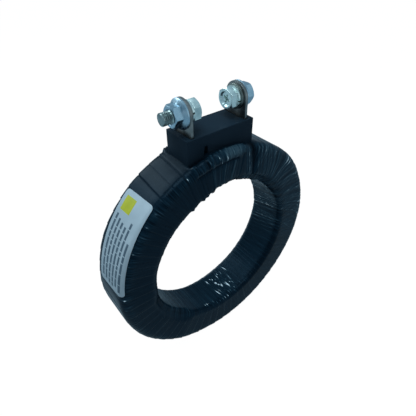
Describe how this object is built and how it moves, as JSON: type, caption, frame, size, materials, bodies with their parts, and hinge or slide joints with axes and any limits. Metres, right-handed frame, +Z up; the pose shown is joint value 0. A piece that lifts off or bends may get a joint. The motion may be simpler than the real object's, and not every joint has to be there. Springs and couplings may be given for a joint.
{
  "type": "ring current transformer",
  "caption": "Tape-wound ring current transformer with a round window, a moulded terminal block with screw terminals on top and a label on the rim.",
  "frame": {"origin": "centre of the window, on its axis and half way through the ring", "axes": "+Y along the window's axis, +Z up through the terminal block, +X towards terminal S2; the label is on the -X side"},
  "size_m": [0.11, 0.025, 0.1315],
  "materials": {
    "tape": "glossy PVC tape, half-lapped",
    "block": "satin moulded",
    "zinc": "zinc plated",
    "tab_metal": "dull tin plated",
    "label": "satin film",
    "core_steel": "annealed strip",
    "copper": "enamelled wire",
    "sleeve": "matt"
  },
  "bodies": {
    "root": {"core": "core_steel", "secondary_winding": "copper", "outer_tape": "tape", "binding_tape": "tape", "terminal_block": "block", "label": "label", "terminal_tab_s1": "tab_metal", "lead_s1": "copper", "lead_sleeve_s1": "sleeve", "plain_washer_s1": "zinc", "spring_washer_s1": "zinc", "screw_s1": "zinc", "flange_nut_s1": "zinc", "terminal_tab_s2": "tab_metal", "lead_s2": "copper", "lead_sleeve_s2": "sleeve", "plain_washer_s2": "zinc", "spring_washer_s2": "zinc", "screw_s2": "zinc", "flange_nut_s2": "zinc"}
  },
  "joints": []
}
